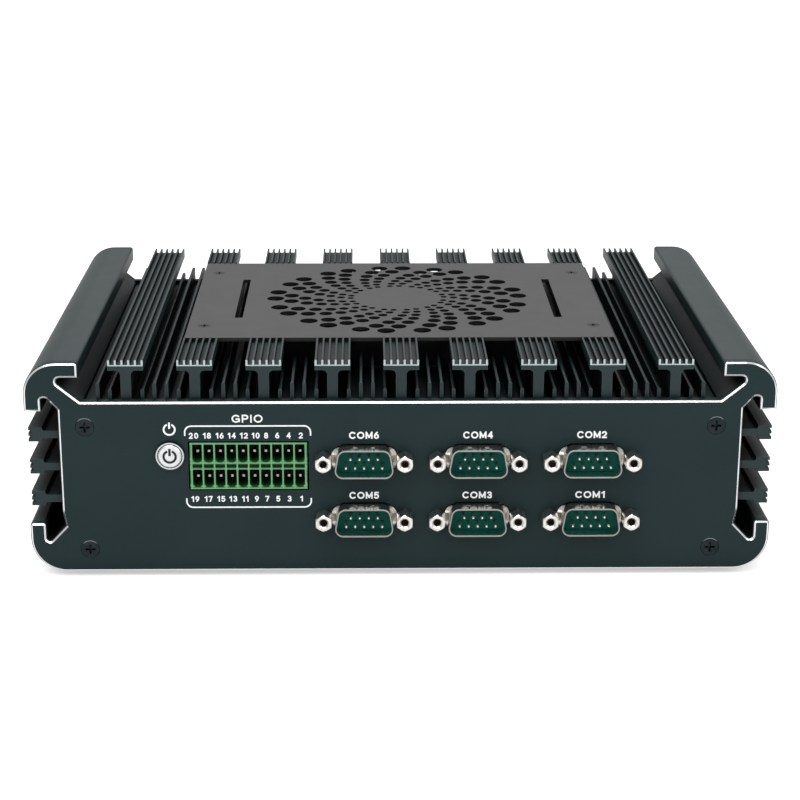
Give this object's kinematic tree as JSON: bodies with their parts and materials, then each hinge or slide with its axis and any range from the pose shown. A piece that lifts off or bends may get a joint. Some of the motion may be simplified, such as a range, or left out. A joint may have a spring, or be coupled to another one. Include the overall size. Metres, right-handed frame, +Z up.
{
  "type": "mini pc",
  "caption": "Low industrial mini PC in a finned aluminium case with hooked side rails, a grilled top fan cover, serial ports, a green terminal header and a round power button.",
  "frame": {"origin": "middle of the machine's bounding box, at the height of the surface its feet stand on", "axes": "+X to the right seen from the front, +Y from the serial ports towards the back, +Z up"},
  "size_m": [0.23, 0.164, 0.07],
  "materials": {
    "case_aluminium": "fine-blasted anodised, edges cut bright",
    "cover_steel": "satin powder coat",
    "black_screws": "black zinc plated",
    "steel": "plain zinc plated steel",
    "rubber": "matt",
    "black_plastic": "fine moulded texture",
    "magnet": "sintered",
    "bronze": "sintered bronze",
    "copper": "enamelled copper windings",
    "nickel": "nickel plated pressed steel",
    "jackscrew_nickel": "nickel plated, turned",
    "teal_plastic": "moulded, slightly glossy",
    "blue_plastic": "moulded",
    "gold_contacts": "gold flashed",
    "green_plastic": "moulded, slightly glossy",
    "button_metal": "satin turned metal",
    "circuit_board": "solder resist",
    "brass": "turned",
    "bare_aluminium": "milled",
    "thermal_pad": "soft, matt",
    "chip_board": "board with black chips"
  },
  "bodies": {
    "case": {"antenna_plugs": "rubber", "board_capacitors": "bare_aluminium", "board_inductors": "chip_board", "board_link_connector": "black_plastic", "board_screws": "steel", "board_standoffs": "brass", "bottom_cover": "cover_steel", "bottom_cover_screws": "black_screws", "coin_cell": "nickel", "coin_cell_holder": "black_plastic", "com_insulators": "teal_plastic", "com_jackscrews": "jackscrew_nickel", "com_pins": "gold_contacts", "com_port_1_shell": "nickel", "com_port_2_shell": "nickel", "com_port_3_shell": "nickel", "com_port_4_shell": "nickel", "com_port_5_shell": "nickel", "com_port_6_shell": "nickel", "cpu_package": "chip_board", "dc_jack": "black_plastic", "drive_tray": "steel", "ethernet_ports": "nickel", "fan_bearing": "bronze", "fan_cover": "cover_steel", "fan_cover_screws": "black_screws", "fan_frame": "black_plastic", "fan_screws": "steel", "fan_stator": "copper", "front_panel": "case_aluminium", "front_panel_screws": "black_screws", "gpio_header_body": "green_plastic", "gpio_header_pins": "gold_contacts", "hdmi_port": "nickel", "heat_spreader_block": "bare_aluminium", "left_side_rail": "case_aluminium", "mainboard_pcb": "circuit_board", "memory_module": "chip_board", "memory_socket": "black_plastic", "power_button_bezel": "button_metal", "power_button_nut": "jackscrew_nickel", "power_button_switch": "black_plastic", "rear_panel": "case_aluminium", "rear_panel_screws": "black_screws", "right_side_rail": "case_aluminium", "rubber_feet": "rubber", "serial_board_pcb": "circuit_board", "ssd_module": "chip_board", "storage_drive": "steel", "thermal_pad": "thermal_pad", "top_heatsink": "case_aluminium", "usb_ports": "nickel", "vga_jackscrews": "jackscrew_nickel", "vga_port_insert": "blue_plastic", "vga_port_shell": "nickel"},
    "fan": {"fan_rotor": "black_plastic", "fan_magnet_ring": "magnet", "fan_shaft": "steel"},
    "button": {"power_button_cap": "button_metal"}
  },
  "joints": [
    {"name": "fan_spin", "type": "hinge", "parent": "case", "child": "fan", "pos_m": [0, 0.002, 0.0615], "axis": [0, 0, 1], "continuous": true},
    {"name": "power_button_press", "type": "slide", "parent": "case", "child": "button", "axis": [0, 1, 0], "range_m": [0, 0.001], "stiffness_N_per_m": 1500, "springref_m": -0.0005}
  ]
}
